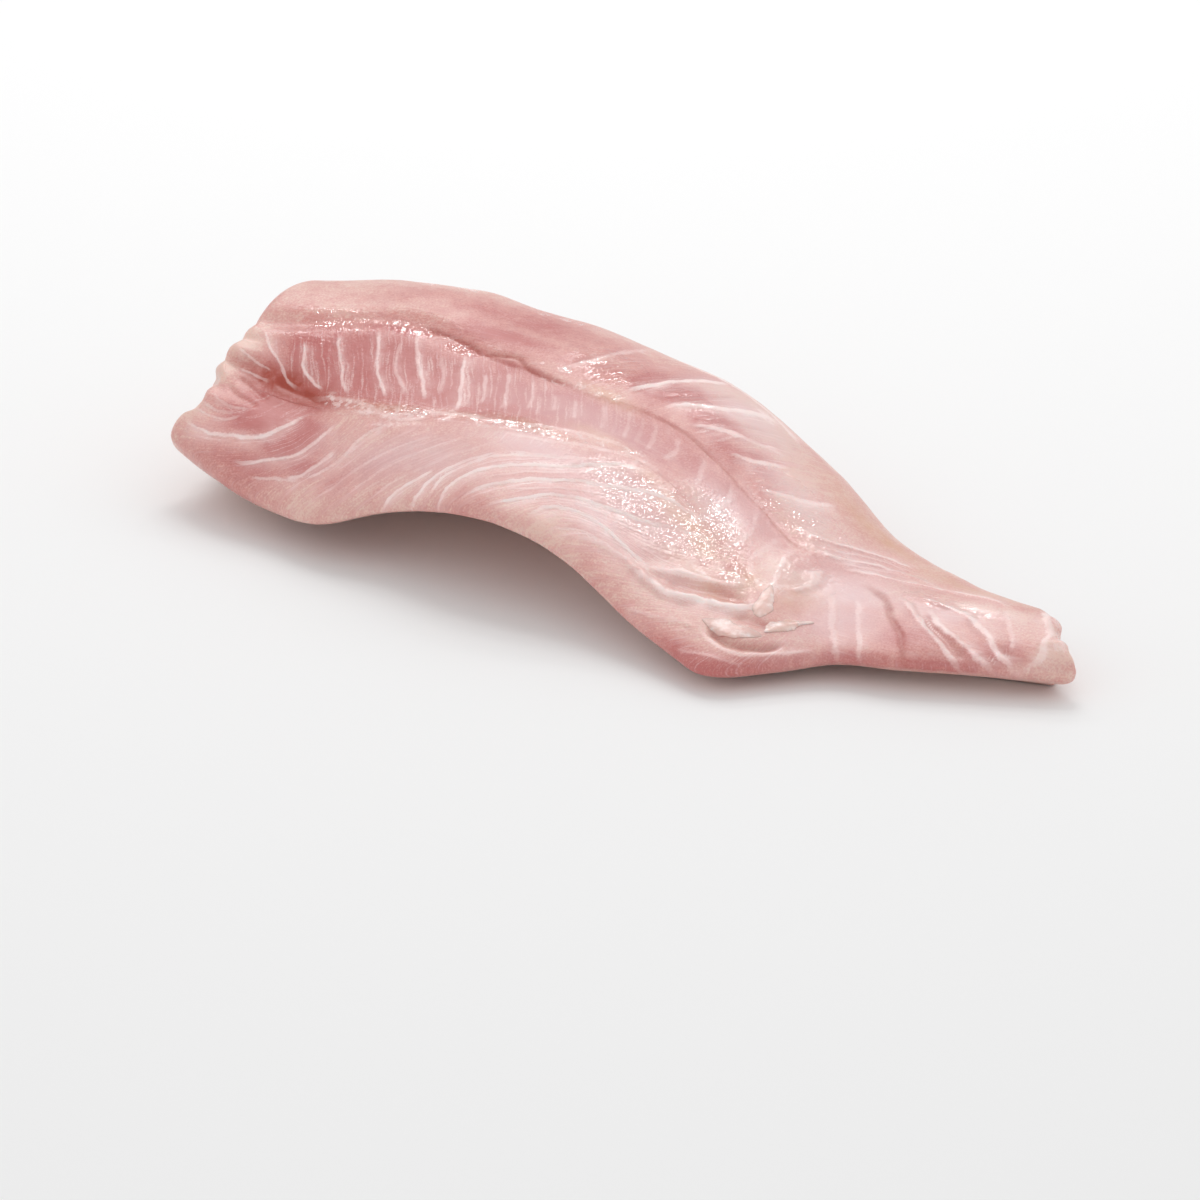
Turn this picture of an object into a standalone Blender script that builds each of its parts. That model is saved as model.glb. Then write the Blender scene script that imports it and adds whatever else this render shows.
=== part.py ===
"""A raw, skinless nile perch fillet, bone side up, as one closed solid.

X runs along the fillet from the head end (-X) to the tail (+X), Y from the thin
belly rim (-Y) to the thick back (+Y), and the fillet lies on z = 0. It is one
UV sphere, bent into shape: the sphere's turns become the cross sections, and its
poles the two cut ends. Lengths below are in millimetres. "Across" is a place on
the width: 0 at the belly rim, 1 at the back.
"""

import bisect
import math

import bmesh
import bpy

MM = 0.001

# Driving dimensions.
HEAD_X = -150.0
TAIL_X = 149.0
RINGS = 64
SIDES = 50
CAP_RINGS = 5
HEAD_ROUNDING = 5.0
TAIL_ROUNDING = 4.5
CAP_FULLNESS = 0.32
CREST_ACROSS = 0.72
CROWN_LEAN_HEAD = 0.9
CROWN_LEAN_TAIL = 0.3
CROWN_LEAN_ENDS = (20.0, 110.0)

# The belly rim: (x, y, height). It lifts off the table between the head end and
# the corner of the belly flap, which is the widest place.
RIM = (
    (-150, -18, 20),
    (-125, -30, 15),
    (-105, -35, 11),
    (-85, -41, 12),
    (-63, -39, 19),
    (-40, -43, 25),
    (-20, -45, 25),
    (0, -48, 20),
    (25, -58, 11),
    (44, -66, 7),
    (53, -70, 6),
    (60, -69, 6),
    (70, -60, 6),
    (84, -48, 7),
    (103, -44, 8),
    (149, -26, 8),
)
# The outermost line of the back: (x, y, height).
BACK = (
    (-150, 60, 26),
    (-120, 71, 27),
    (-90, 76, 26),
    (-60, 77, 25),
    (-30, 76, 23),
    (0, 69, 21),
    (37, 50, 15),
    (72, 24, 11),
    (99, 12, 9),
    (124, 3, 9),
    (149, 0, 8),
)
# The crest along the back: (x, height).
CREST = (
    (-150, 46),
    (-120, 50),
    (-90, 51),
    (-60, 49),
    (-30, 46),
    (0, 41),
    (37, 30),
    (72, 19),
    (99, 16),
    (124, 16),
    (149, 15),
)
# How far the underside hangs below the line from rim to back, and what share of
# that it has next to the rim: (x, depth, share).
BELLY = (
    (-150, 22, 0.6),
    (-110, 21, 0.5),
    (-85, 20, 0.3),
    (0, 20, 0.3),
    (45, 12, 0.6),
    (84, 10, 0.6),
    (149, 10, 0.6),
)
BELLY_FULL = 1.4
BELLY_TURNOVER = (0.2, 0.65)
# How far each cut end stands back from its foremost corner: (across, setback).
HEAD_CUT = (
    (0.00, 0.0),
    (0.07, 2.0),
    (0.11, 5.0),
    (0.24, 6.5),
    (0.31, 3.5),
    (0.45, 5.5),
    (0.70, 6.5),
    (1.00, 10.0),
)
TAIL_CUT = (
    (0.00, 0.0),
    (0.12, 1.5),
    (0.31, 7.0),
    (0.48, 11.0),
    (0.70, 13.5),
    (1.00, 24.0),
)
HEAD_CUT_REACH = 45.0
TAIL_CUT_REACH = 60.0

# The two lines between which the backbone lay: (x, across).
BACK_GROOVE = (
    (-150, 0.42),
    (-124, 0.48),
    (-102, 0.55),
    (-85, 0.57),
    (-60, 0.50),
    (-28, 0.50),
    (-2, 0.53),
    (22, 0.59),
    (45, 0.56),
    (70, 0.58),
    (82, 0.48),
    (92, 0.33),
    (106, 0.02),
)
BELLY_SEAM = (
    (-150, 0.06),
    (-126, 0.09),
    (-112, 0.17),
    (-95, 0.27),
    (-60, 0.22),
    (-40, 0.27),
    (-8, 0.33),
    (14, 0.38),
    (38, 0.35),
    (58, 0.31),
    (69, 0.18),
    (79, 0.03),
)
GROOVE_DEPTH = 1.0
GROOVE_WIDTH = 0.04
BED_DEPTH = 2.2
BED_FADES = (-20.0, 50.0)

# The pit behind the head end, where the backbone's thick end was cut out.
PIT_AT = (-117.0, 0.28)
PIT_SIZE = (16.0, 0.08)
PIT_DEPTH = 2.8

# The fold of the belly flap: (x, across) at both ends, and its height.
FOLD_FROM = (17.0, 0.10)
FOLD_TO = (62.0, 0.26)
FOLD_WIDTH = 0.04
FOLD_HEIGHT = 1.0

# Slow swells along the crest.
SWELL_LENGTH = 52.0
SWELL_HEIGHT = 0.8
SWELL_WIDTH = 0.16

FLESH = (0.78, 0.46, 0.42, 1.0)


def smoothstep(low, high, value):
    """Rise from 0 at low to 1 at high, without corners."""
    t = min(max((value - low) / (high - low), 0.0), 1.0)
    return t * t * (3.0 - 2.0 * t)


def bell(distance, width):
    """A smooth hump, 1 in its middle and near 0 two widths away."""
    return math.exp(-((distance / width) ** 2))


def along(stations, place, column=1):
    """Read one column of a station list on a smooth curve through it."""
    places = [row[0] for row in stations]
    i = min(max(bisect.bisect_right(places, place) - 1, 0), len(stations) - 2)
    span = places[i + 1] - places[i]
    t = min(max((place - places[i]) / span, 0.0), 1.0)

    def slope(k):
        low = max(k - 1, 0)
        high = min(k + 1, len(stations) - 1)
        rise = stations[high][column] - stations[low][column]
        return rise / (places[high] - places[low])

    start = stations[i][column]
    end = stations[i + 1][column]
    leave = slope(i) * span
    arrive = slope(i + 1) * span
    square = 3 * (end - start) - 2 * leave - arrive
    cube = 2 * (start - end) + leave + arrive
    return start + leave * t + square * t ** 2 + cube * t ** 3


def crown(x, across):
    """The arch of the upper side: 0 at rim and back, leaning towards the back."""
    turnover = smoothstep(*CROWN_LEAN_ENDS, x)
    lean = CROWN_LEAN_HEAD + (CROWN_LEAN_TAIL - CROWN_LEAN_HEAD) * turnover
    return math.sqrt(across * (1.0 - across)) * (1.0 - lean / 2 + lean * across)


def relief(x, across):
    """What the bones and the knife left on the upper side."""
    groove = along(BACK_GROOVE, x)
    seam = along(BELLY_SEAM, x)
    bed_middle = (groove + seam) / 2
    bed_half = (groove - seam) / 2 + 0.04
    fade = 1.0 - 0.8 * smoothstep(*BED_FADES, x)
    height = -BED_DEPTH * fade * bell(across - bed_middle, bed_half)
    height -= GROOVE_DEPTH * fade * bell(across - groove, GROOVE_WIDTH)
    pit = bell(x - PIT_AT[0], PIT_SIZE[0]) * bell(across - PIT_AT[1], PIT_SIZE[1])
    height -= PIT_DEPTH * pit
    step = (x - FOLD_FROM[0]) / (FOLD_TO[0] - FOLD_FROM[0])
    fold_across = FOLD_FROM[1] + (FOLD_TO[1] - FOLD_FROM[1]) * step
    height += FOLD_HEIGHT * bell(step - 0.5, 0.5) * bell(across - fold_across, FOLD_WIDTH)
    swell = math.sin(2.0 * math.pi * x / SWELL_LENGTH)
    height += SWELL_HEIGHT * swell * bell(across - CREST_ACROSS, SWELL_WIDTH)
    return height * math.sqrt(4.0 * across * (1.0 - across))


def section_point(x, turn):
    """One point of the cross section at x. turn runs from 0 at the belly rim
    over the top to pi at the back, and on under the fillet to 2 pi."""
    across = 0.5 - 0.5 * math.cos(turn)
    rim_y, rim_z = along(RIM, x), along(RIM, x, 2)
    back_y, back_z = along(BACK, x), along(BACK, x, 2)
    y = rim_y + (back_y - rim_y) * across
    z = rim_z + (back_z - rim_z) * across
    if turn <= math.pi:
        level = rim_z + (back_z - rim_z) * CREST_ACROSS
        lift = (along(CREST, x) - level) / crown(x, CREST_ACROSS)
        z += lift * crown(x, across) + relief(x, across)
    else:
        share = along(BELLY, x, 2)
        share += (BELLY_FULL - share) * smoothstep(*BELLY_TURNOVER, across)
        z -= along(BELLY, x) * abs(math.sin(turn)) * share
    return y, z


def shape_vertex(co):
    """Take one vertex of the unit sphere, whose poles are on Z, to its place."""
    swing = math.acos(min(max(-co.z, -1.0), 1.0))
    turn = math.atan2(co.y, -co.x) % (2.0 * math.pi)
    cap = math.pi * CAP_RINGS / RINGS
    head = min(swing / cap, 1.0) * math.pi / 2
    tail = min((math.pi - swing) / cap, 1.0) * math.pi / 2
    step = min(max((swing - cap) / (math.pi - 2 * cap), 0.0), 1.0)
    first = HEAD_X + HEAD_ROUNDING
    last = TAIL_X - TAIL_ROUNDING
    x = first + (last - first) * step
    x += TAIL_ROUNDING * math.cos(tail) - HEAD_ROUNDING * math.cos(head)
    size = (math.sin(head) * math.sin(tail)) ** CAP_FULLNESS
    across = 0.5 - 0.5 * math.cos(turn) * size
    x += along(HEAD_CUT, across) * (1.0 - smoothstep(HEAD_X, HEAD_X + HEAD_CUT_REACH, x))
    x -= along(TAIL_CUT, across) * smoothstep(TAIL_X - TAIL_CUT_REACH, TAIL_X, x)
    y, z = section_point(x, turn)
    middle_y = (along(RIM, x) + along(BACK, x)) / 2
    middle_z = along(CREST, x) * 0.45
    y = middle_y + (y - middle_y) * size
    z = middle_z + (z - middle_z) * size
    return x, y, max(z, 0.0)


def make_fillet():
    """Bend a UV sphere into the fillet, and set its box's middle over the origin."""
    mesh = bpy.data.meshes.new("fillet")
    bm = bmesh.new()
    bmesh.ops.create_uvsphere(bm, u_segments=SIDES, v_segments=RINGS, radius=1.0)
    for vert in bm.verts:
        vert.co = [value * MM for value in shape_vertex(vert.co)]
    for axis in (0, 1):
        places = [vert.co[axis] for vert in bm.verts]
        middle = (min(places) + max(places)) / 2
        for vert in bm.verts:
            vert.co[axis] -= middle
    bm.to_mesh(mesh)
    bm.free()
    mesh.shade_smooth()
    fillet = bpy.data.objects.new("fillet", mesh)
    bpy.context.scene.collection.objects.link(fillet)
    return fillet


def flesh_material():
    """Moist, pale pink raw flesh."""
    material = bpy.data.materials.new("raw_flesh")
    material.use_nodes = True
    surface = material.node_tree.nodes["Principled BSDF"]
    surface.inputs["Base Color"].default_value = FLESH
    surface.inputs["Roughness"].default_value = 0.35
    surface.inputs["Metallic"].default_value = 0.0
    return material


def main():
    for thing in list(bpy.data.objects):
        bpy.data.objects.remove(thing, do_unlink=True)
    fillet = make_fillet()
    fillet.data.materials.append(flesh_material())


main()
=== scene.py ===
"""The looks of a raw, skinless nile perch fillet, bone side up.

The fillet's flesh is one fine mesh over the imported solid, with its flakes, the
bed that the backbone left, the groove, the belly flap's fold and the pit behind
the head end as real relief. Loose scraps of white tissue lie on the belly flap.
Lengths in the tables are in millimetres. "Across" is a place on the width of the
upper side: 0 at the belly rim, 1 at the back.
"""

import math
from collections import namedtuple
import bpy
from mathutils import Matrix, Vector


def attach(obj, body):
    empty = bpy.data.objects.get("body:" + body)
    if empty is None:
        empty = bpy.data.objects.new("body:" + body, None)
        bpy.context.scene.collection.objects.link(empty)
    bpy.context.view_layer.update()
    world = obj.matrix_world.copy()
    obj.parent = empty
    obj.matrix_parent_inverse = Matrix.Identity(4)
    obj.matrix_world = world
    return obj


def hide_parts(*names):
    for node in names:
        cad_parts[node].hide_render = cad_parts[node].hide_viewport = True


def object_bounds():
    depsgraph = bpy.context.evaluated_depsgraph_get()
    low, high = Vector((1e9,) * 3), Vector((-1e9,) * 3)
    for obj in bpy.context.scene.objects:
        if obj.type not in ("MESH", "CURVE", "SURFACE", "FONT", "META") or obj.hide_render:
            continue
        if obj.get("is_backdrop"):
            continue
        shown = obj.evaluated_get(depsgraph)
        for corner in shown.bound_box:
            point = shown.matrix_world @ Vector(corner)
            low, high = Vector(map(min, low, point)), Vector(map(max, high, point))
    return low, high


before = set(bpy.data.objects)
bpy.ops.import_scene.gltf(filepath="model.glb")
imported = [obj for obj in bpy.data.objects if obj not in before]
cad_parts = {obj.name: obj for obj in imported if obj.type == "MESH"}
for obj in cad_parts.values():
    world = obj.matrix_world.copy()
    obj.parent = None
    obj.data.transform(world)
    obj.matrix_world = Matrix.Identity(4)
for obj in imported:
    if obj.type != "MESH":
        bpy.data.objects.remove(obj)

from types import SimpleNamespace

import bmesh
import bpy
import numpy as np
from bpy.props import FloatProperty, FloatVectorProperty, IntProperty, PointerProperty
from mathutils import Matrix, Vector, noise
from mathutils.bvhtree import BVHTree

bl_info = {
    "name": "Nile Perch Fillet",
    "version": (1, 0, 0),
    "blender": (4, 5, 0),
    "location": "3D View > Sidebar > Fillet",
    "description": "Builds a raw nile perch fillet and a plain studio round it",
    "category": "Object",
}

CAD_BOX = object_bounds()
MM = 0.001

# The smooth shape, as the solid has it.
HEAD_X = -150.0
TAIL_X = 149.0
CAP_SHARE = 5.0 / 64.0
HEAD_ROUNDING = 5.0
TAIL_ROUNDING = 4.5
CAP_FULLNESS = 0.32
CAP_HEIGHT = 0.45
CREST_ACROSS = 0.72
CROWN_LEAN_HEAD = 0.9
CROWN_LEAN_TAIL = 0.3
CROWN_LEAN_ENDS = (20.0, 110.0)

# The belly rim: (x, y, height).
RIM = (
    (-150, -18, 20), (-125, -30, 15), (-105, -35, 11), (-85, -41, 12), (-63, -39, 19),
    (-40, -43, 25), (-20, -45, 25), (0, -48, 20), (25, -58, 11), (44, -66, 7), (53, -70, 6),
    (60, -69, 6), (70, -60, 6), (84, -48, 7), (103, -44, 8), (149, -26, 8),
)
# The outermost line of the back: (x, y, height).
BACK = (
    (-150, 60, 26), (-120, 71, 27), (-90, 76, 26), (-60, 77, 25), (-30, 76, 23), (0, 69, 21),
    (37, 50, 15), (72, 24, 11), (99, 12, 9), (124, 3, 9), (149, 0, 8),
)
# The crest along the back: (x, height).
CREST = (
    (-150, 46), (-120, 50), (-90, 51), (-60, 49), (-30, 46), (0, 41), (37, 30), (72, 19), (99, 16),
    (124, 16), (149, 15),
)
# How far the underside hangs below the line from rim to back, and what share of
# that it has next to the rim: (x, depth, share).
BELLY = (
    (-150, 22, 0.6), (-110, 21, 0.5), (-85, 20, 0.3), (0, 20, 0.3), (45, 12, 0.6), (84, 10, 0.6),
    (149, 10, 0.6),
)
BELLY_FULL = 1.4
BELLY_TURNOVER = (0.2, 0.65)
# How far each cut end stands back from its foremost corner: (across, setback).
HEAD_CUT = (
    (0.00, 0.0), (0.07, 2.0), (0.11, 5.0), (0.24, 6.5), (0.31, 3.5), (0.45, 5.5), (0.70, 6.5),
    (1.00, 10.0),
)
TAIL_CUT = (
    (0.00, 0.0), (0.12, 1.5), (0.31, 7.0), (0.48, 11.0), (0.70, 13.5), (1.00, 24.0),
)
HEAD_CUT_REACH = 45.0
TAIL_CUT_REACH = 60.0

# The two lines between which the backbone lay: (x, across).
BACK_GROOVE = (
    (-150, 0.48), (-124, 0.54), (-102, 0.60), (-85, 0.595), (-66, 0.545), (-48, 0.52), (-28, 0.50),
    (-2, 0.54), (22, 0.557), (45, 0.546), (70, 0.56), (82, 0.47), (92, 0.33), (106, 0.02),
)
BELLY_SEAM = (
    (-150, 0.06), (-126, 0.10), (-112, 0.19), (-95, 0.28), (-60, 0.27), (-40, 0.285), (-8, 0.37),
    (14, 0.40), (38, 0.37), (58, 0.32), (69, 0.18), (79, 0.03),
)

# A family of seams: the thin white sheets between the flakes where they come to
# the surface. White is how clear the line is, width and ridge its size in mm, and
# step how far the flake on its tail side stands lower, in mm. Blush reddens the
# flesh beside the line, mostly on its head side: partly redder flesh, partly
# painted shade beside the flakes' step. Between adds that many faint lines to each
# gap. A route is a few (x, across) points.
Family = namedtuple("Family", "white width ridge step blush between routes")

RIBS = (
    Family(0.75, 0.85, 0.07, 0.0, 0.25, 0, (
        ((-137, 0.47), (-131, 0.41), (-126, 0.365), (-120, 0.322), (-115, 0.305)),
        ((-122, 0.46), (-119, 0.41), (-117, 0.37), (-111, 0.329), (-107, 0.315)),
        ((-113, 0.51), (-107, 0.42), (-102, 0.354), (-97, 0.325)),
        ((-102, 0.55), (-96, 0.45), (-89, 0.372), (-85, 0.337)),
        ((-90, 0.58), (-83, 0.48), (-77, 0.395), (-72, 0.334)),
        ((-71, 0.53), (-66, 0.427), (-61, 0.334), (-60, 0.308)),
    )),
    Family(0.4, 0.9, 0.04, 0.0, 0.12, 0, (
        ((-93, 0.537), (-90, 0.465), (-83, 0.388), (-79, 0.346)),
        ((-78, 0.51), (-73, 0.437), (-69, 0.364)), ((-61, 0.468), (-56, 0.389), (-55, 0.35)),
        ((-54, 0.494), (-49, 0.407), (-47, 0.35)), ((-45, 0.483), (-41, 0.412), (-40, 0.37)),
        ((-36, 0.457), (-32, 0.394)), ((-29, 0.467), (-25, 0.393)),
    )),
    Family(0.3, 1.1, 0.04, 0.0, 0.1, 1, (
        ((-20, 0.49), (-17, 0.44), (-16, 0.40)), ((-13, 0.51), (-10, 0.46), (-8, 0.41)),
        ((-4, 0.52), (-1, 0.47), (0, 0.42)),
    )),
    Family(0.35, 1.5, 0.04, 0.05, 0.1, 0, (
        ((5, 0.53), (7, 0.48), (6, 0.43)), ((15, 0.54), (18, 0.47), (18, 0.42)),
        ((27, 0.54), (29, 0.48), (28, 0.40)), ((38, 0.53), (41, 0.46), (39, 0.38), (37, 0.33)),
        ((50, 0.53), (48, 0.45), (47, 0.39), (51, 0.33)),
    )),
)

# The ragged white tissue along the belly seam, and its yellower end.
SEAM_LINES = (
    Family(0.4, 1.2, 0.06, 0.0, 0.0, 0, (
        ((-110, 0.285), (-100, 0.304), (-88, 0.302), (-80, 0.276), (-69, 0.301)),
        ((-93, 0.275), (-83, 0.281), (-75, 0.263), (-67, 0.275)),
        ((-73, 0.295), (-60, 0.295), (-51, 0.295), (-41, 0.302)),
    )),
    Family(0.4, 1.0, 0.08, 0.15, 0.0, 0, (
        ((-51, 0.295), (-41, 0.302), (-29, 0.33), (-20, 0.356), (-11, 0.378), (-5, 0.395)),
        ((-41, 0.256), (-28, 0.27), (-19, 0.302), (-9, 0.342), (1, 0.371), (8, 0.383)),
    )),
)

HEAD_ARCS = (
    Family(1.1, 0.85, 0.2, 0.6, 0.4, 0, (
        ((-143, 0.045), (-136, 0.055), (-127, 0.08), (-117, 0.115), (-111, 0.17), (-105, 0.24)),
    )),
    Family(0.75, 0.7, 0.12, 0.45, 0.3, 0, (
        ((-121, 0.035), (-115, 0.05), (-108, 0.083), (-101, 0.118), (-97, 0.173), (-94, 0.23)),
        ((-94, 0.06), (-88, 0.118), (-85, 0.165), (-83, 0.21), (-78, 0.25)),
        ((-101, 0.05), (-95, 0.078), (-92, 0.12), (-90, 0.16)),
    )),
    Family(0.5, 0.6, 0.1, 0.3, 0.2, 0, (
        ((-142, 0.10), (-137, 0.104), (-130, 0.125), (-125, 0.15)),
        ((-141, 0.13), (-134, 0.135), (-128, 0.155)), ((-113, 0.02), (-103, 0.045), (-96, 0.06)),
        ((-138, 0.17), (-131, 0.165), (-124, 0.18)), ((-140, 0.36), (-134, 0.35), (-127, 0.33)),
        ((-137, 0.31), (-131, 0.30), (-126, 0.30)),
    )),
    Family(0.35, 0.8, 0.06, 0.15, 0.15, 1, (
        ((-88, 0.02), (-78, 0.11), (-68, 0.17), (-58, 0.21)),
        ((-79, 0.02), (-71, 0.09), (-61, 0.15), (-48, 0.22)),
        ((-70, 0.01), (-63, 0.07), (-54, 0.12), (-40, 0.21)),
    )),
)

FLANK_ARCS = (
    Family(1.1, 0.75, 0.1, 0.35, 0.2, 0, (
        ((-64, 0), (-62, 0.03), (-58, 0.06), (-53, 0.10)),
        ((-54, 0), (-53, 0.05), (-50, 0.09), (-45, 0.13), (-36, 0.18)),
        ((-49, 0.01), (-49, 0.06), (-46, 0.10), (-39, 0.15), (-28, 0.20), (-14, 0.26)),
    )),
    Family(1.5, 0.8, 0.16, 0.45, 0.3, 0, (
        ((-44, 0), (-44, 0.05), (-38, 0.11), (-28, 0.16), (-17, 0.21), (-4, 0.31), (6, 0.36)),
        ((-38, 0.01), (-33, 0.07), (-26, 0.11), (-14, 0.17), (0, 0.25), (14, 0.33), (28, 0.38)),
        ((-30, 0.01), (-26, 0.04), (-19, 0.08), (-9, 0.14), (2, 0.18), (12, 0.22), (22, 0.28)),
        ((-15, 0.03), (-13, 0.07), (-6, 0.11), (4, 0.13), (15, 0.13), (25, 0.14)),
    )),
    Family(0.55, 0.6, 0.05, 0.15, 0.1, 0, (
        ((-36, 0.09), (-27, 0.135), (-16, 0.19), (-4, 0.275), (5, 0.33)),
        ((-30, 0.07), (-22, 0.10), (-12, 0.15), (0, 0.21), (10, 0.27)),
        ((-22, 0.04), (-14, 0.09), (-3, 0.145), (8, 0.175), (18, 0.20)),
        ((-8, 0.03), (0, 0.07), (12, 0.10), (22, 0.11)),
        ((-34, 0.19), (-22, 0.23), (-12, 0.28), (-4, 0.33)), ((-24, 0.19), (-14, 0.24), (-4, 0.29)),
        ((4, 0.30), (14, 0.355), (24, 0.385)), ((14, 0.23), (24, 0.29), (32, 0.34)),
    )),
)

FOLD_LINES = (
    Family(1.5, 1.6, 1.3, 0.5, 0.1, 0, (
        ((17, 0.10), (24, 0.108), (32, 0.113), (40, 0.145), (49, 0.19), (56, 0.23), (58, 0.27)),
    )),
    Family(0.6, 1.2, 0.15, 0.1, 0.0, 0, (
        ((59, 0.26), (60, 0.31), (57, 0.40), (55, 0.48), (56, 0.54)),
        ((49, 0.09), (55, 0.075), (62, 0.05), (70, 0.04), (79, 0.03)),
    )),
    # The first line of this family, on the upper roll of the fold, is a painted highlight along the roll;
    # the second is a seam.
    Family(0.9, 1.6, 0.7, 0.1, 0.0, 0, (
        ((22, 0.125), (26, 0.15), (32, 0.19), (40, 0.225), (48, 0.275), (50, 0.33)),
        ((64, 0.50), (66, 0.43), (63, 0.36)),
    )),
    Family(0.3, 0.9, 0.15, 0.1, 0.0, 0, (
        ((23, 0.01), (35, 0.05), (47, 0.09)), ((45, 0.01), (57, 0.03), (66, 0.01)),
        ((-4, 0.03), (7, 0.08), (22, 0.115), (31, 0.12), (39, 0.15)),
    )),
)

TAIL_LINES = (
    Family(0.5, 1.1, 0.12, 0.1, 0.2, 0, (
        ((72, 0.41), (76, 0.30), (80, 0.151), (85, 0)), ((80, 0.40), (84, 0.237), (92, 0)),
        ((119, 0.62), (124, 0.45), (127, 0.318), (131, 0.12)),
    )),
    Family(0.9, 1.2, 0.6, 0.7, 0.3, 0, (
        ((90, 0.46), (98, 0.366), (109, 0.182), (114, 0.08), (118, 0)),
        ((100, 0.44), (108, 0.30), (114, 0.207), (124, 0.038), (127, 0)),
    )),
    # From x 94 to 105 this line paints the wet highlight on the tail in white; further on it is a seam.
    Family(1.1, 1.2, 0.7, 0.8, 0.3, 0, (
        ((94, 0.527), (105, 0.50), (111, 0.475), (121, 0.285), (128, 0.071), (132, 0)),
    )),
    Family(0.9, 1.4, 0.35, 0.0, 0.0, 0, (
        ((128, 0.79), (134, 0.55), (137, 0.371), (137, 0.265), (138, 0.053), (135, 0)),
    )),
)

# Seams of the loin and the back. Those from x -38 to 53 are also drawn wide and white as painted highlight
# on their ridges.
BACK_LINES_AND_HIGHLIGHTS = (
    Family(0.55, 1.3, 0.25, 0.2, 0.2, 0, (
        ((-38, 0.56), (-33, 0.64), (-30, 0.74), (-28, 0.84)),
    )),
    Family(1.3, 1.15, 0.35, 0.4, 0.7, 0, (
        ((-18, 0.56), (-15, 0.62), (-9, 0.747), (-4, 0.837), (-2, 0.89)),
        ((-5, 0.58), (0, 0.651), (6, 0.702), (11, 0.767), (15, 0.826), (19, 0.89)),
    )),
    Family(1.0, 1.0, 0.3, 0.3, 0.5, 0, (
        ((5, 0.58), (11, 0.63), (18, 0.679), (23, 0.711), (31, 0.78)),
        ((20, 0.61), (24, 0.635), (29, 0.686), (35, 0.753)),
        ((34, 0.60), (41, 0.65), (47, 0.71), (53, 0.79)),
    )),
    Family(1.0, 0.85, 0.35, 0.15, 0.25, 1, (
        ((50, 0.60), (63, 0.66), (75, 0.73), (86, 0.77)),
        ((60, 0.58), (68, 0.60), (78, 0.66), (90, 0.71)),
        ((70, 0.565), (84, 0.60), (94, 0.655), (103, 0.70), (112, 0.70), (120, 0.66)),
    )),
    # A white line along the back's edge: painted highlight of the rim.
    Family(0.9, 1.5, 0.1, 0.0, 0.0, 0, (
        ((-24, 0.87), (-10, 0.89), (4, 0.90), (18, 0.90), (30, 0.88)),
    )),
)

FLANK_SEAMS = SEAM_LINES + HEAD_ARCS + FLANK_ARCS + FOLD_LINES
SEAMS = RIBS + FLANK_SEAMS + TAIL_LINES + BACK_LINES_AND_HIGHLIGHTS

# Lines of the flank from head to tail, each from the rim upwards: (x, across).
FLOW_ARCS = (
    ((-165, 0), (-150, 0.06), (-135, 0.16), (-128, 0.25)),
    ((-150, 0), (-126, 0.08), (-111, 0.16), (-105, 0.24)),
    ((-124, 0), (-109, 0.07), (-101, 0.12), (-95, 0.22)),
    ((-99, 0), (-90, 0.09), (-84, 0.19), (-80, 0.26)),
    ((-90, 0), (-76, 0.10), (-64, 0.16), (-52, 0.22)),
    ((-72, 0), (-60, 0.07), (-49, 0.13), (-36, 0.22)),
    ((-50, 0), (-42, 0.11), (-33, 0.17), (-20, 0.24)),
    ((-44, 0), (-36, 0.11), (-16, 0.21), (8, 0.38)),
    ((-38, 0), (-26, 0.10), (0, 0.25), (28, 0.38)),
    ((-29, 0), (-19, 0.07), (2, 0.18), (40, 0.36)),
    ((-16, 0), (-6, 0.10), (28, 0.19), (56, 0.36)),
    ((10, 0), (30, 0.10), (52, 0.19), (62, 0.34)),
    ((50, 0), (58, 0.08), (66, 0.20), (70, 0.34)),
    ((85, 0), (79, 0.18), (74, 0.35), (70, 0.45)),
    ((118, 0), (113, 0.14), (106, 0.29), (90, 0.46)),
    ((132, 0), (124, 0.22), (117, 0.37), (106, 0.50)),
    ((150, 0), (148, 0.24), (144, 0.50), (140, 0.80)),
)

# Creases: their depth and width in mm, and how dark they are: painted shade in the crease, in the blood
# colour.
Crease = namedtuple("Crease", "depth width shade route")
CREASES = (
    Crease(0.5, 0.7, 1.0, ((-89, 0.602), (-81, 0.587), (-73, 0.567), (-66, 0.541))),
    Crease(0.5, 0.7, 1.0, ((-66, 0.546), (-56, 0.546), (-49, 0.523), (-41, 0.507), (-34, 0.50))),
    Crease(0.15, 0.5, 0.8, ((-12, 0.528), (-3, 0.538), (12, 0.555), (29, 0.551), (48, 0.546), (62, 0.56))),
    Crease(0.5, 0.8, 0.9, ((78, 0.51), (85, 0.45), (91, 0.334), (96, 0.225), (101, 0.117), (105, 0))),
    Crease(0.9, 1.6, 0.3, ((113, 0.44), (121, 0.26), (127, 0.11), (132, 0.02))),
    Crease(0.8, 1.5, 0.3, ((101, 0.40), (108, 0.25), (115, 0.12), (120, 0.03))),
    Crease(1.4, 1.3, 0.6, ((50, 0.115), (57, 0.095), (64, 0.075), (71, 0.06))),
    Crease(1.2, 2.2, 0.0, ((30, 0.14), (38, 0.18), (47, 0.225), (55, 0.27))),
    Crease(0.8, 1.6, 0.4, ((55, 0.20), (61, 0.19), (66, 0.165))),
    Crease(0.3, 0.8, 0.2, ((-10, 0.60), (-4, 0.67), (2, 0.75), (6, 0.83))),
    Crease(0.3, 0.8, 0.2, ((2, 0.60), (9, 0.66), (16, 0.72), (22, 0.79))),
    Crease(0.5, 1.1, 0.7, ((-124, 0.31), (-116, 0.295), (-108, 0.283), (-102, 0.278))),
    Crease(0.4, 1.0, 0.3, ((-137, 0.225), (-130, 0.205), (-122, 0.20))),
    Crease(0.4, 1.0, 0.3, ((-136, 0.27), (-129, 0.25), (-121, 0.235))),
)

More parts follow.
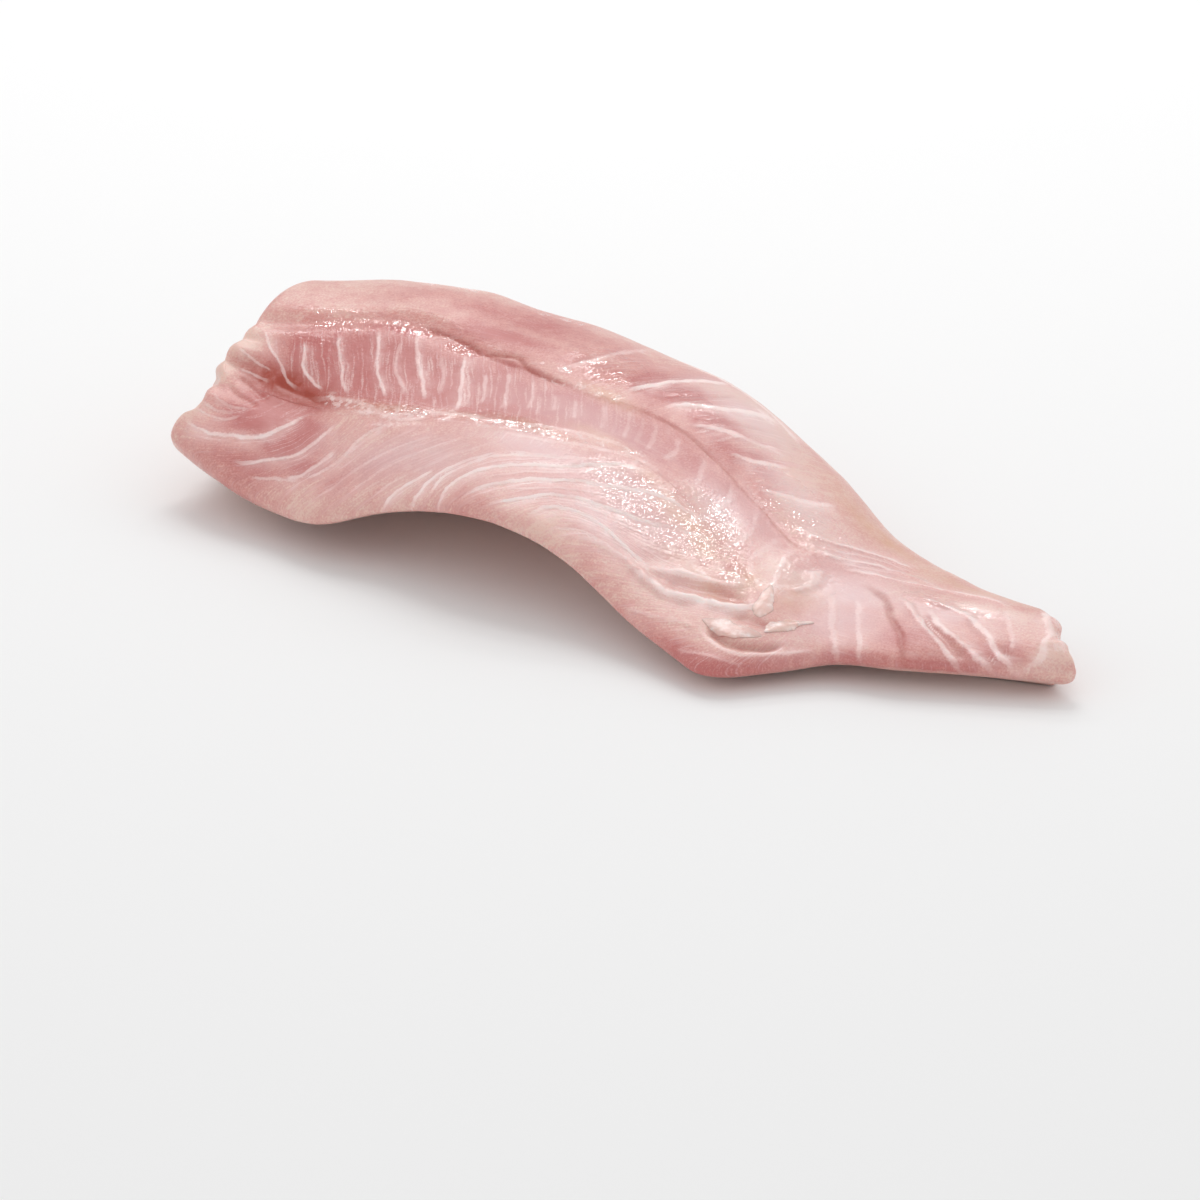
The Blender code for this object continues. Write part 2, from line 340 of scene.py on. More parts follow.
# Bands of frayed white tissue: their width in mm and how white they are.
Tatter = namedtuple("Tatter", "width amount route")
TATTERS = (
    Tatter(3.6, 0.8, ((-109, 0.29), (-102, 0.292), (-94, 0.30), (-80, 0.285), (-69, 0.29), (-55, 0.285))),
    Tatter(3.2, 0.8, ((-60, 0.285), (-45, 0.285), (-32, 0.305), (-20, 0.335), (-8, 0.37), (6, 0.385))),
    Tatter(1.6, 1.3, ((-48, 0.545), (-43, 0.552), (-39, 0.553), (-35, 0.563))),
    Tatter(1.8, 0.8, ((-46, 0.503), (-40, 0.508), (-31, 0.51), (-22, 0.525), (-14, 0.54))),
    Tatter(3.0, 0.35, ((-127, 0.60), (-116, 0.575), (-103, 0.59), (-92, 0.60), (-78, 0.58), (-66, 0.55))),
    Tatter(3.0, 0.9, ((-105, 0.85), (-98, 0.87), (-92, 0.86), (-84, 0.85))),
    Tatter(2.6, 0.8, ((-68, 0.82), (-60, 0.845), (-52, 0.84), (-43, 0.85))),
    Tatter(2.4, 0.9, ((20, 0.36), (25, 0.35), (28, 0.39), (29, 0.45), (28, 0.51))),
    Tatter(2.0, 0.9, ((51, 0.33), (57, 0.36), (62, 0.38), (66, 0.42))),
    Tatter(1.6, 0.9, ((134, 0.75), (138, 0.55), (139, 0.40), (141, 0.25), (143, 0.10))),
)
# Soft-edged places: (x, across, reach along x, reach across, amount). Creams are
# drained of blood and blushes full of it, but the blushes on the belly rim are painted
# shade under the rim. Pits are darkest; tans are fatty, and on the back's edge tan
# painted shade as well. Cools are bluish and thin, whites veiled by membrane, and the
# white on the back's edge a painted highlight. Wets are glossy.
CREAMS = (
    (-137, 0.39, 9, 0.07, 0.6), (-144, 0.26, 6, 0.07, 0.6), (-145, 0.10, 11, 0.07, 0.4),
    (-100, 0.02, 14, 0.03, 0.2), (-66, 0.03, 16, 0.05, 0.15), (-14, 0.03, 14, 0.05, 0.25),
    (3, 0.137, 16, 0.06, 0.1), (30, 0.33, 14, 0.07, 0.1), (30, 0.44, 12, 0.05, 0.45),
    (54, 0.46, 10, 0.06, 0.35), (16, 0.80, 16, 0.10, 0.5), (45, 0.70, 16, 0.10, 0.35),
    (-93, 0.64, 12, 0.05, 0.25), (143, 0.15, 7, 0.15, 0.3), (116, 0.57, 14, 0.06, 0.3),
)
# Soft lobes of the cut ends and the back; the amount is their height in mm.
KNOBS = (
    (-144, 0.47, 7, 0.045, 1.3), (-142, 0.36, 7, 0.045, 1.6), (-145, 0.255, 7, 0.04, 1.6),
    (-143, 0.165, 8, 0.03, 1.4), (-118, 0.90, 10, 0.06, 0.9), (-84, 0.90, 9, 0.05, 0.9),
    (-52, 0.90, 12, 0.06, 0.8), (137, 0.66, 5, 0.08, 1.2), (142, 0.25, 4, 0.07, 1.0),
)
# The places at across 0, at x 57, 90 and 112, darken the belly rim as painted shade under it; the rest are
# blood.
BLUSHES_AND_RIM_SHADE = (
    (-116, 0.25, 12, 0.06, 0.8), (-120, 0.155, 9, 0.035, 0.8), (-117, 0.03, 16, 0.045, 0.7),
    (-92, 0.57, 26, 0.02, 0.3), (-111, 0.205, 7, 0.05, 0.9), (-108, 0.12, 9, 0.035, 0.9),
    (-101, 0.165, 6, 0.05, 0.8), (-96, 0.09, 6, 0.03, 0.6), (-66, 0.62, 18, 0.05, 0.9),
    (-60, 0.73, 24, 0.08, 0.7), (-100, 0.72, 14, 0.07, 0.2), (-27, 0.62, 8, 0.05, 0.4),
    (-12, 0.65, 9, 0.08, 1.1), (-3, 0.70, 6, 0.05, 0.8), (7, 0.63, 7, 0.05, 1.0),
    (18, 0.61, 9, 0.045, 0.8), (34, 0.60, 8, 0.03, 0.5), (-91, 0.65, 14, 0.04, 0.35),
    (-28, 0.72, 10, 0.08, 0.35), (-105, 0.178, 7, 0.05, 1.2), (-82, 0.078, 8, 0.04, 0.3),
    (-31, 0.02, 12, 0.03, 0.3), (-16, 0.20, 9, 0.04, 0.2), (57, 0.0, 22, 0.04, 0.9),
    (90, 0.0, 14, 0.035, 0.6), (112, 0.0, 14, 0.035, 0.6), (100, 0.15, 8, 0.10, 0.5),
    (127, 0.12, 8, 0.10, 0.5), (85, 0.24, 7, 0.10, 0.4), (46, 0.233, 7, 0.025, 0.5),
    (62, 0.30, 6, 0.05, 0.3), (11, 0.67, 8, 0.04, 0.9), (29, 0.66, 7, 0.04, 0.6),
    (45, 0.50, 18, 0.05, 0.4), (20, 0.48, 16, 0.05, 0.5), (-31, 0.43, 16, 0.06, 0.6),
    (-4, 0.44, 14, 0.06, 0.7), (-95, 0.42, 25, 0.09, 0.8), (-55, 0.38, 25, 0.09, 0.6),
    (0, 0.49, 18, 0.05, 0.4), (46, 0.52, 12, 0.03, 0.3), (-75, 0.10, 12, 0.05, 0.25),
    (-35, 0.57, 25, 0.08, 0.3), (96, 0.22, 4, 0.12, 0.4),
)
PITS = (
    (-133, 0.325, 6, 0.04, 0.6), (-127, 0.312, 7, 0.045, 1.0), (-120, 0.305, 9, 0.05, 1.3),
    (-110, 0.286, 9, 0.04, 1.2), (-118, 0.245, 7, 0.03, 0.5), (-103, 0.28, 6, 0.022, 0.7),
)
# The last two, on the back's edge at x 70 and 105, are fatty tan deepened by painted shade.
TANS_AND_EDGE_SHADE = (
    (-21, 0.523, 9, 0.022, 0.9), (-84, 0.30, 14, 0.018, 0.5), (-56, 0.295, 12, 0.018, 0.5),
    (-34, 0.315, 14, 0.022, 0.6), (-12, 0.375, 12, 0.022, 0.6), (16, 0.33, 7, 0.025, 0.7),
    (26, 0.33, 7, 0.03, 0.7), (7, 0.35, 6, 0.02, 0.5), (32, 0.30, 6, 0.025, 0.6),
    (42, 0.22, 12, 0.03, 0.7), (52, 0.33, 5, 0.04, 0.6), (64, 0.34, 7, 0.08, 0.6),
    (70, 0.86, 22, 0.06, 0.8), (105, 0.80, 20, 0.06, 0.7),
)
COOLS = (
    (-62, 0.14, 28, 0.08, 0.8), (-25, 0.24, 26, 0.06, 0.9), (10, 0.24, 26, 0.12, 1.0),
    (30, 0.44, 14, 0.08, 1.1), (15, 0.78, 20, 0.10, 1.1), (45, 0.68, 18, 0.09, 0.9),
    (3, 0.137, 16, 0.06, 0.9), (-20, 0.42, 30, 0.08, 0.6), (40, 0.48, 22, 0.10, 0.6),
    (76, 0.42, 20, 0.16, 1.1), (115, 0.50, 18, 0.14, 0.5), (80, 0.24, 13, 0.16, 0.9),
    (104, 0.42, 10, 0.08, 0.9), (70, 0.62, 18, 0.08, 0.8),
)
# The place at x 15 on the back's edge is a painted highlight of the rim; the others are membrane.
WHITES_AND_HIGHLIGHTS = (
    (15, 0.86, 12, 0.05, 0.6), (-28, 0.80, 8, 0.04, 0.5), (-78, 0.245, 22, 0.02, 0.5),
    (40, 0.235, 12, 0.02, 0.6),
)
WETS = (
    (10, 0.26, 24, 0.09, 0.9), (30, 0.35, 16, 0.12, 0.85), (50, 0.30, 10, 0.06, 0.9),
    (-117, 0.57, 14, 0.05, 0.9), (-93, 0.60, 14, 0.045, 0.9), (-70, 0.55, 10, 0.03, 0.8),
    (-28, 0.62, 14, 0.10, 0.6), (-120, 0.44, 16, 0.08, 0.5), (-85, 0.30, 26, 0.03, 0.5),
    (-40, 0.31, 26, 0.03, 0.6), (106, 0.52, 16, 0.07, 0.7), (48, 0.64, 18, 0.10, 0.8),
    (62, 0.44, 14, 0.10, 0.5), (0, 0.66, 12, 0.06, 0.5),
)


def smoothstep(low, high, value):
    """Rise from 0 at low to 1 at high, without corners."""
    t = np.clip((value - low) / (high - low), 0.0, 1.0)
    return t * t * (3.0 - 2.0 * t)


def bell(distance, width):
    """A smooth hump, 1 in its middle and near 0 two widths away."""
    return np.exp(-((distance / width) ** 2))


def along(stations, place, column=1):
    """Read one column of a station list on a smooth curve through it."""
    table = np.array(stations, float)
    places = table[:, 0]
    values = table[:, column]
    count = len(values)
    low = np.maximum(np.arange(count) - 1, 0)
    high = np.minimum(np.arange(count) + 1, count - 1)
    slopes = (values[high] - values[low]) / (places[high] - places[low])
    i = np.clip(np.searchsorted(places, place, "right") - 1, 0, count - 2)
    span = places[i + 1] - places[i]
    t = np.clip((place - places[i]) / span, 0.0, 1.0)
    start = values[i]
    end = values[i + 1]
    leave = slopes[i] * span
    arrive = slopes[i + 1] * span
    square = 3 * (end - start) - 2 * leave - arrive
    cube = 2 * (start - end) + leave + arrive
    return start + leave * t + square * t ** 2 + cube * t ** 3


def crown(x, across):
    """The arch of the upper side: 0 at rim and back, leaning towards the back."""
    turnover = smoothstep(*CROWN_LEAN_ENDS, x)
    lean = CROWN_LEAN_HEAD + (CROWN_LEAN_TAIL - CROWN_LEAN_HEAD) * turnover
    return np.sqrt(np.maximum(across * (1.0 - across), 0.0)) * (1.0 - lean / 2 + lean * across)


def section(x, turn):
    """y and z of the smooth fillet at x. turn runs from 0 at the belly rim over
    the top to pi at the back, and on under the fillet to 2 pi."""
    across = 0.5 - 0.5 * np.cos(turn)
    rim_z = along(RIM, x, 2)
    back_z = along(BACK, x, 2)
    rim_y = along(RIM, x)
    y = rim_y + (along(BACK, x) - rim_y) * across
    z = rim_z + (back_z - rim_z) * across
    level = rim_z + (back_z - rim_z) * CREST_ACROSS
    lift = (along(CREST, x) - level) / crown(x, CREST_ACROSS)
    thin = along(BELLY, x, 2)
    share = thin + (BELLY_FULL - thin) * smoothstep(*BELLY_TURNOVER, across)
    over = lift * crown(x, across)
    under = -along(BELLY, x) * np.abs(np.sin(turn)) * share
    return y, z + np.where(turn <= math.pi, over, under)


def smooth_fillet(step, turn):
    """Places on the smooth fillet, in mm: step runs from 0 at the head end's pole
    to 1 at the tail's. Returns x, y, z, and the x and across of the tables."""
    head = np.minimum(step / CAP_SHARE, 1.0) * math.pi / 2
    tail = np.minimum((1.0 - step) / CAP_SHARE, 1.0) * math.pi / 2
    between = np.clip((step - CAP_SHARE) / (1.0 - 2 * CAP_SHARE), 0.0, 1.0)
    first = HEAD_X + HEAD_ROUNDING
    last = TAIL_X - TAIL_ROUNDING
    x = first + (last - first) * between
    x = x + TAIL_ROUNDING * np.cos(tail) - HEAD_ROUNDING * np.cos(head)
    size = (np.sin(head) * np.sin(tail)) ** CAP_FULLNESS
    across = 0.5 - 0.5 * np.cos(turn) * size
    x = x + along(HEAD_CUT, across) * (1.0 - smoothstep(HEAD_X, HEAD_X + HEAD_CUT_REACH, x))
    x = x - along(TAIL_CUT, across) * smoothstep(TAIL_X - TAIL_CUT_REACH, TAIL_X, x)
    y, z = section(x, turn)
    middle_y = (along(RIM, x) + along(BACK, x)) / 2
    middle_z = along(CREST, x) * CAP_HEIGHT
    y = middle_y + (y - middle_y) * size
    z = middle_z + (z - middle_z) * size
    return x, y, np.maximum(z, 0.0)


# Places on the fillet measured over its surface.
SECTION_COLUMNS = 61
SECTION_TURNS = 241
LINE_PIECES = 40
NEAR_LINE = 12.0
RUN_OFF = 8.0
LINE_FADE = (-0.02, 0.14)
BETWEEN_STRENGTH = 0.45
ACROSS_MM = 110.0
ARC_GAP = 0.01


def section_widths():
    """How far each turn lies from the belly rim over the surface, in mm, as a table
    of columns of x by turns from -pi/2, under the rim, to 3 pi/2, under the back."""
    columns = np.linspace(HEAD_X, TAIL_X, SECTION_COLUMNS)
    turns = np.linspace(-math.pi / 2, 3 * math.pi / 2, SECTION_TURNS)
    grid_x, grid_turn = np.meshgrid(columns, turns, indexing="ij")
    y, z = section(grid_x, grid_turn % (2 * math.pi))
    pieces = np.hypot(np.diff(y, axis=1), np.diff(z, axis=1))
    widths = np.concatenate([np.zeros((len(columns), 1)), np.cumsum(pieces, axis=1)], axis=1)
    rim = np.searchsorted(turns, -1e-6)
    return columns, turns, widths - widths[:, rim:rim + 1]


def width_place(table, x, turn):
    """Read the table of section_widths between its entries."""
    columns, turns, widths = table
    turn = np.where(turn > 1.5 * math.pi, turn - 2 * math.pi, turn)
    place_x = np.clip((x - columns[0]) / (columns[1] - columns[0]), 0, len(columns) - 1.001)
    place_turn = np.clip((turn - turns[0]) / (turns[1] - turns[0]), 0, len(turns) - 1.001)
    i = place_x.astype(int)
    j = place_turn.astype(int)
    s = place_x - i
    t = place_turn - j
    low = widths[i, j] * (1 - t) + widths[i, j + 1] * t
    high = widths[i + 1, j] * (1 - t) + widths[i + 1, j + 1] * t
    return low * (1 - s) + high * s


def route_line(table, route):
    """A smooth line of (x, width place) through a route, in mm. A route that ends at
    the rim runs on over it."""
    points = np.array(route, float)
    gaps = np.hypot(np.diff(points[:, 0]), np.diff(points[:, 1]) * ACROSS_MM)
    places = np.concatenate([[0.0], np.cumsum(gaps)])
    stations = np.column_stack([places, points])
    steps = np.linspace(0.0, places[-1], LINE_PIECES)
    x = along(stations, steps, 1)
    across = np.clip(along(stations, steps, 2), 0.0, 1.0)
    line = np.column_stack([x, width_place(table, x, np.arccos(1.0 - 2.0 * across))])
    if route[-1][1] == 0:
        line = np.vstack([line, line[-1] + unit(line[-1] - line[-4]) * RUN_OFF])
    if route[0][1] == 0:
        line = np.vstack([line[0] + unit(line[0] - line[3]) * RUN_OFF, line])
    return line


def unit(vector):
    """The same direction with a length of 1."""
    return vector / np.hypot(*vector)


def beside(line, x, width):
    """Where the places near a line are: which ones, their distance in mm, positive on
    the tail's side, and how strongly the line shows there, fading at its ends."""
    low = line.min(axis=0) - NEAR_LINE
    high = line.max(axis=0) + NEAR_LINE
    near = np.flatnonzero((x > low[0]) & (x < high[0]) & (width > low[1]) & (width < high[1]))
    places = np.column_stack([x[near], width[near]])[:, None, :]
    starts = line[:-1]
    runs = line[1:] - starts
    lengths = (runs ** 2).sum(axis=1)
    share = np.clip(((places - starts) * runs).sum(axis=2) / lengths, 0.0, 1.0)
    gaps = places - starts - share[..., None] * runs
    distances = np.hypot(gaps[..., 0], gaps[..., 1])
    closest = distances.argmin(axis=1)
    rows = np.arange(len(near))
    gap = gaps[rows, closest]
    side = np.sign(gap[:, 0] * runs[closest, 1] - gap[:, 1] * runs[closest, 0])
    if runs[:, 1].sum() < 0:
        side = -side
    way = (closest + share[rows, closest]) / len(runs)
    shown = smoothstep(*LINE_FADE, way) * smoothstep(*LINE_FADE, 1.0 - way)
    return near, side * distances[rows, closest], shown


def family_lines(table, family):
    """A family's lines, each with its share of the family's strength."""
    lines = [route_line(table, route) for route in family.routes]
    for line in lines:
        yield 1.0, line
    for first, second in zip(lines, lines[1:]):
        for k in range(family.between):
            share = (k + 1) / (family.between + 1)
            count = min(len(first), len(second))
            yield BETWEEN_STRENGTH, first[:count] * (1 - share) + second[:count] * share


def flow_lines(x, across):
    """A number that is the same all along each flank arc and rises from head to tail:
    the x, in mm, at which a line like the neighbouring arcs leaves the rim."""
    arcs = np.array([along([(a, px) for px, a in arc], across) for arc in FLOW_ARCS])
    arcs = np.maximum.accumulate(arcs + np.arange(len(arcs))[:, None] * ARC_GAP, axis=0)
    rims = np.array([arc[0][0] for arc in FLOW_ARCS], float)
    i = np.clip((arcs <= x).sum(axis=0) - 1, 0, len(arcs) - 2)
    rows = np.arange(len(x))
    low = arcs[i, rows]
    share = (x - low) / np.maximum(arcs[i + 1, rows] - low, 0.5)
    return rims[i] + (rims[i + 1] - rims[i]) * share


def patches(places, x, across):
    """The strongest of some soft-edged places at each point."""
    most = np.zeros_like(x)
    for place_x, place_across, reach_x, reach_across, amount in places:
        shape = bell(x - place_x, reach_x) * bell(across - place_across, reach_across)
        most = np.maximum(most, amount * shape)
    return most


def wander(values, positions, parts):
    """Add smooth noise to values at positions: parts of (amount, size in mm, seed)."""
    for amount, size, seed in parts:
        shift = Vector((seed * 17.3, seed * 5.1, seed * 9.7))
        drift = np.array([noise.noise(Vector(place) / size + shift) for place in positions])
        values = values + amount * drift
    return values


# The relief: heights and depths in mm, widths as shares of the width across. A pair
# is where along x, or across from the groove or seam, something starts and is
# complete; the pit's pairs are along x and across.
BED_DEPTH = 2.2
BED_SPARE = 0.04
BED_FADES = (-20.0, 50.0)
BED_LOSS = 0.8
GROOVE_DEPTH = 1.0
GROOVE_WIDTH = 0.04
GROOVE_FADES = (-60.0, -25.0)
GROOVE_LOSS = 0.7
GROOVE_LIP = 0.9
LIP_STARTS = (-95.0, -70.0)
LIP_RISE = (-0.010, 0.012)
LIP_FALL = (0.05, 0.18)
BAND_STARTS = (-140.0, -122.0)
BAND_ENDS = (35.0, 60.0)
BAND_PALES = (-35.0, 0.0)
BAND_BLOOD = 0.45
LOIN_STARTS = (-0.01, 0.03)
LOIN_FLAKES_START = (-48.0, -28.0)
LOIN_FLAKES_END = (40.0, 60.0)
FLANK_ENDS = (-0.04, 0.0)
FLANK_REACH = 0.26
FLAKE_SLANT = 70.0
RIB_SLANT = 65.0
PIT_AT = (-117.0, 0.28)
PIT_SIZE = (16.0, 0.08)
PIT_DEPTH = 2.8
SWELL_LENGTH = 52.0
SWELL_HEIGHT = 0.8
SWELL_WIDTH = 0.16
STEP_REACH = 5.0
FAR = 4.0
HAZE_REACH = 2.6
# How far the redness beside a line reaches, in mm; in part it is painted shade of the step.
BLUSH_AND_SHADE_REACH = 4.0
# Smooth wandering of lines and relief: (amount, size in mm, seed).
WARP_X = ((0.9, 13.0, 1), (0.45, 3.0, 6))
WARP_WIDTH = ((0.9, 11.0, 2), (0.45, 3.4, 7))
RAGGED = ((0.9, 4.0, 8),)
LUMPS = ((0.5, 34.0, 3), (0.2, 11.0, 3), (0.05, 4.5, 3))


class Flesh:
    """What the maker knows of every point of the fillet's surface."""

    def __init__(self, x, turn, positions):
        self.across = 0.5 - 0.5 * np.cos(turn)
        edge = self.across * (1.0 - self.across)
        self.above = np.where(turn <= math.pi, 1.0, 1.0 - smoothstep(0.0, 0.03, edge))
        table = section_widths()
        self.x = wander(x, positions, WARP_X)
        self.width = wander(width_place(table, x, turn), positions, WARP_WIDTH)
        self.ragged = wander(1.0, positions, RAGGED)
        for name in ("relief", "line", "haze", "blood", "dark", "rag"):
            setattr(self, name, np.zeros_like(x))
        self.side = np.full_like(x, FAR)
        self.near = np.full_like(x, FAR)
        self.flow = flow_lines(self.x, self.across)
        self.mark_regions(x)
        self.mark_seams(table)
        self.mark_creases(table)
        self.relief = wander(self.relief, positions, LUMPS)

    def mark_regions(self, x):
        """The bed of the backbone, the groove, the pit, the swells of the back, the
        colours that come in places, and the way that the fibres run."""
        across = self.across
        groove = along(BACK_GROOVE, x)
        seam = along(BELLY_SEAM, x)
        past = across - groove
        fade = 1.0 - BED_LOSS * smoothstep(*BED_FADES, x)
        open_part = 1.0 - GROOVE_LOSS * smoothstep(*GROOVE_FADES, x)
        bed = -BED_DEPTH * fade * bell(across - (groove + seam) / 2, (groove - seam) / 2 + BED_SPARE)
        bed -= GROOVE_DEPTH * fade * open_part * bell(past, GROOVE_WIDTH)
        lip = smoothstep(*LIP_RISE, past) * (1.0 - smoothstep(*LIP_FALL, past))
        bed += GROOVE_LIP * open_part * fade * lip * smoothstep(*LIP_STARTS, x)
        pit = bell(x - PIT_AT[0], PIT_SIZE[0]) * bell(across - PIT_AT[1], PIT_SIZE[1])
        swell = np.sin(2.0 * math.pi * x / SWELL_LENGTH) * bell(across - CREST_ACROSS, SWELL_WIDTH)
        upper = np.sqrt(4.0 * across * (1.0 - across)) * self.above
        self.relief += upper * (bed - PIT_DEPTH * pit + SWELL_HEIGHT * swell)
        faint = smoothstep(*BAND_PALES, x)
        into = smoothstep(seam - 0.015, seam + 0.02 + 0.12 * faint, across)
        soft = 0.05 * (1.0 - smoothstep(*LIP_STARTS, x))
        out = 1.0 - smoothstep(groove - 0.005 - soft, groove + 0.012 + soft + 0.03 * faint, across)
        ends = smoothstep(*BAND_STARTS, x) * (1.0 - smoothstep(*BAND_ENDS, x)) * (1.0 - 0.4 * faint)
        band = into * out * ends * self.above
        self.blood += BAND_BLOOD * band
        # The blushes include painted shade on the belly rim.
        self.blood += (patches(BLUSHES_AND_RIM_SHADE, x, across) - patches(CREAMS, self.x, across)) * self.above
        self.relief += patches(KNOBS, self.x, across) * self.above
        self.wet = patches(WETS, x, across) * self.above
        for name, places in (("pit", PITS), ("tan", TANS_AND_EDGE_SHADE), ("pale", WHITES_AND_HIGHLIGHTS), ("cool", COOLS)):
            setattr(self, name, patches(places, self.x, across) * self.above)
        self.under = (1.0 - self.above) * smoothstep(0.02, 0.12, across * (1.0 - across))
        loin = smoothstep(*LOIN_STARTS, past)
        flakes = smoothstep(*LOIN_FLAKES_START, x) * (1.0 - smoothstep(*LOIN_FLAKES_END, x))
        flank = 1.0 - smoothstep(*FLANK_ENDS, across - seam)
        below = across < np.maximum(seam - 0.02, FLANK_REACH)
        self.flow = np.where(below, self.flow, self.x + RIB_SLANT * across)
        self.flow = np.where(loin > 0.5, self.x - FLAKE_SLANT * past, self.flow)
        self.curved = np.maximum(np.maximum(flank, band), loin * flakes) * self.above

    def mark_seams(self, table):
        """White lines, the ridges they stand in and the steps between the flakes."""
        for family in SEAMS:
            for share, line in family_lines(table, family):
                near, distance, shown = beside(line, self.x, self.width)
                shown = shown * share
                shape = bell(distance, family.width)
                beyond = smoothstep(-family.width, family.width, distance)
                drop = beyond * np.exp(-np.maximum(distance, 0.0) / STEP_REACH)
                ridge = family.ridge * self.ragged[near] * shape
                self.relief[near] += shown * (ridge - family.step * drop)
                ratio = distance / family.width
                closer = np.abs(ratio) < self.near[near]
                hit = near[closer]
                self.near[hit] = np.abs(ratio[closer])
                self.side[hit] = ratio[closer]
                self.line[hit] = family.white * shown[closer]
                veil = np.exp(-np.abs(distance) / HAZE_REACH) * np.where(distance > 0, 1.0, 0.5)
                self.haze[near] = np.maximum(self.haze[near], family.white * shown * veil)
                # Redder on the line's head side: partly blood, partly painted shade beside the step.
                blush = np.exp(-np.abs(distance) / BLUSH_AND_SHADE_REACH) * np.where(distance < 0, 1.0, 0.2)
                self.blood[near] += family.blush * shown * blush

    def mark_creases(self, table):
        """Creases sunk into the flesh, with painted shade along them, and the bands of frayed tissue."""
        for crease in CREASES:
            near, distance, shown = beside(route_line(table, crease.route), self.x, self.width)
            shape = shown * bell(distance, crease.width)
            self.relief[near] -= crease.depth * shape
            self.dark[near] = np.maximum(self.dark[near], crease.shade * shape)
        for tatter in TATTERS:
            near, distance, shown = beside(route_line(table, tatter.route), self.x, self.width)
            torn = tatter.amount * shown * bell(distance, tatter.width)
            self.rag[near] = np.maximum(self.rag[near], torn)


# What the finish reads of the flesh, as attributes of its mesh.
ATTRIBUTES = (
    "line", "side", "near", "haze", "blood", "dark", "rag", "pit", "tan",
    "pale", "wet", "cool", "under", "across", "flow", "width", "curved",
)
UPPER_SHARE = 0.8
MIDDLE_LEAN = 0.15
POLE_SHARE = 0.35


def spread_turns(share):
    """Turns from 0 to 2 pi for shares of the sphere's round, with more of them on the
    upper side, and there a little more in the middle."""
    upper = share / UPPER_SHARE
    lower = (share - UPPER_SHARE) / (1.0 - UPPER_SHARE)
    over = math.pi * upper + MIDDLE_LEAN * np.sin(2.0 * math.pi * upper)
    return np.where(share <= UPPER_SHARE, over, math.pi + math.pi * lower)


def build_flesh(sizes):
    """The fillet as one closed mesh: a UV sphere bent into the smooth shape and
    then raised and sunk by its relief. It lies in the middle of the solid's box."""
    mesh = bpy.data.meshes.new("flesh")
    bm = bmesh.new()
    bmesh.ops.create_uvsphere(bm, u_segments=sizes.sides, v_segments=sizes.rings, radius=1.0)
    bm.to_mesh(mesh)
    ball = np.array([vert.co[:] for vert in bm.verts])
    step = np.arccos(np.clip(-ball[:, 2], -1.0, 1.0)) / math.pi
    share = (np.arctan2(ball[:, 1], -ball[:, 0]) / (2.0 * math.pi)) % 1.0
    turn = spread_turns(np.where(share > 1.0 - 1e-7, 0.0, share))
    x, y, z = smooth_fillet(step, turn)
    places = np.column_stack([x, y, z])
    flesh = Flesh(x, turn, places)
    normals = smooth_normals(bm, places)
    bm.free()
    poles = smoothstep(0.0, POLE_SHARE * CAP_SHARE, np.minimum(step, 1.0 - step))
    raised = places + normals * (flesh.relief * sizes.relief * poles)[:, None]
    raised[:, 2] = np.maximum(raised[:, 2], 0.0)
    low, high = np.array(CAD_BOX)
    middle = (places.min(axis=0) + places.max(axis=0)) / 2
    shift = (low + high) / 2 - middle * MM
    shift[2] = 0.0
    mesh.vertices.foreach_set("co", (raised * MM + shift).ravel())
    mesh.update()
    sizes.shift = shift
    for name in ATTRIBUTES:
        attribute = mesh.attributes.new(name, "FLOAT", "POINT")
        attribute.data.foreach_set("value", getattr(flesh, name).astype(np.float32))
    mesh.shade_smooth()
    return add_object("flesh", mesh)


def smooth_normals(bm, places):
    """The vertex normals with the vertices at places. A bmesh gives the same ones on
    each run, to the last bit, where a mesh's own vary."""
    for vert, place in zip(bm.verts, places):
        vert.co = place
    bm.normal_update()
    return np.array([vert.normal[:] for vert in bm.verts])


def add_object(name, data):
    """Put a mesh, light or camera into the scene."""
    thing = bpy.data.objects.new(name, data)
    bpy.context.scene.collection.objects.link(thing)
    return thing


# Loose scraps of white tissue. A route is a few (x, across) points, and widths are
# the scrap's widths at them. One edge is lifted, the one towards the back if lean
# is positive. Ragged is how much its outline varies, and pink how much of the
# flesh's pink it has. Lengths are in mm.
Scrap = namedtuple("Scrap", "name thick lift lean seed ragged pink widths route")
SCRAPS = (
    Scrap("scrap_drop", 1.5, 0.0, 0.0, 1, 0.25, 0.15, (2.5, 4.0, 4.5, 6.0, 4.5), (
        (57.5, 0.36), (58.5, 0.32), (59.5, 0.28), (60.2, 0.245), (61, 0.215))),
    Scrap("scrap_fold", 0.7, 0.0, -0.3, 2, 0.35, 0.5, (3.0, 5.0, 6.5, 6.5, 4.0), (
        (47, 0.12), (51, 0.13), (55, 0.137), (60, 0.137), (65, 0.125))),
    Scrap("scrap_torn", 1.2, 0.2, 0.7, 3, 0.5, 0.1, (4.5, 7.0, 6.0, 2.2, 3.0), (
        (65, 0.145), (67, 0.17), (69, 0.185), (71.5, 0.198), (74.5, 0.21))),
)
SCRAP_SIDES = 48
SCRAP_RINGS = 72
COURSE_STEP = 0.05
TIE = 1e-5


def nearest(ground, place):
    """The nearest point of the flesh and its normal. Faces that share it tie, and the
    first of them counts, so that each run gives the same."""
    distance = ground.find_nearest(place)[3]
    ties = ground.find_nearest_range(place, distance * (1.0 + TIE) + TIE * MM)
    hit, normal = min(ties, key=lambda tie: (tie[2], *tie[1]))[:2]
    return hit, normal


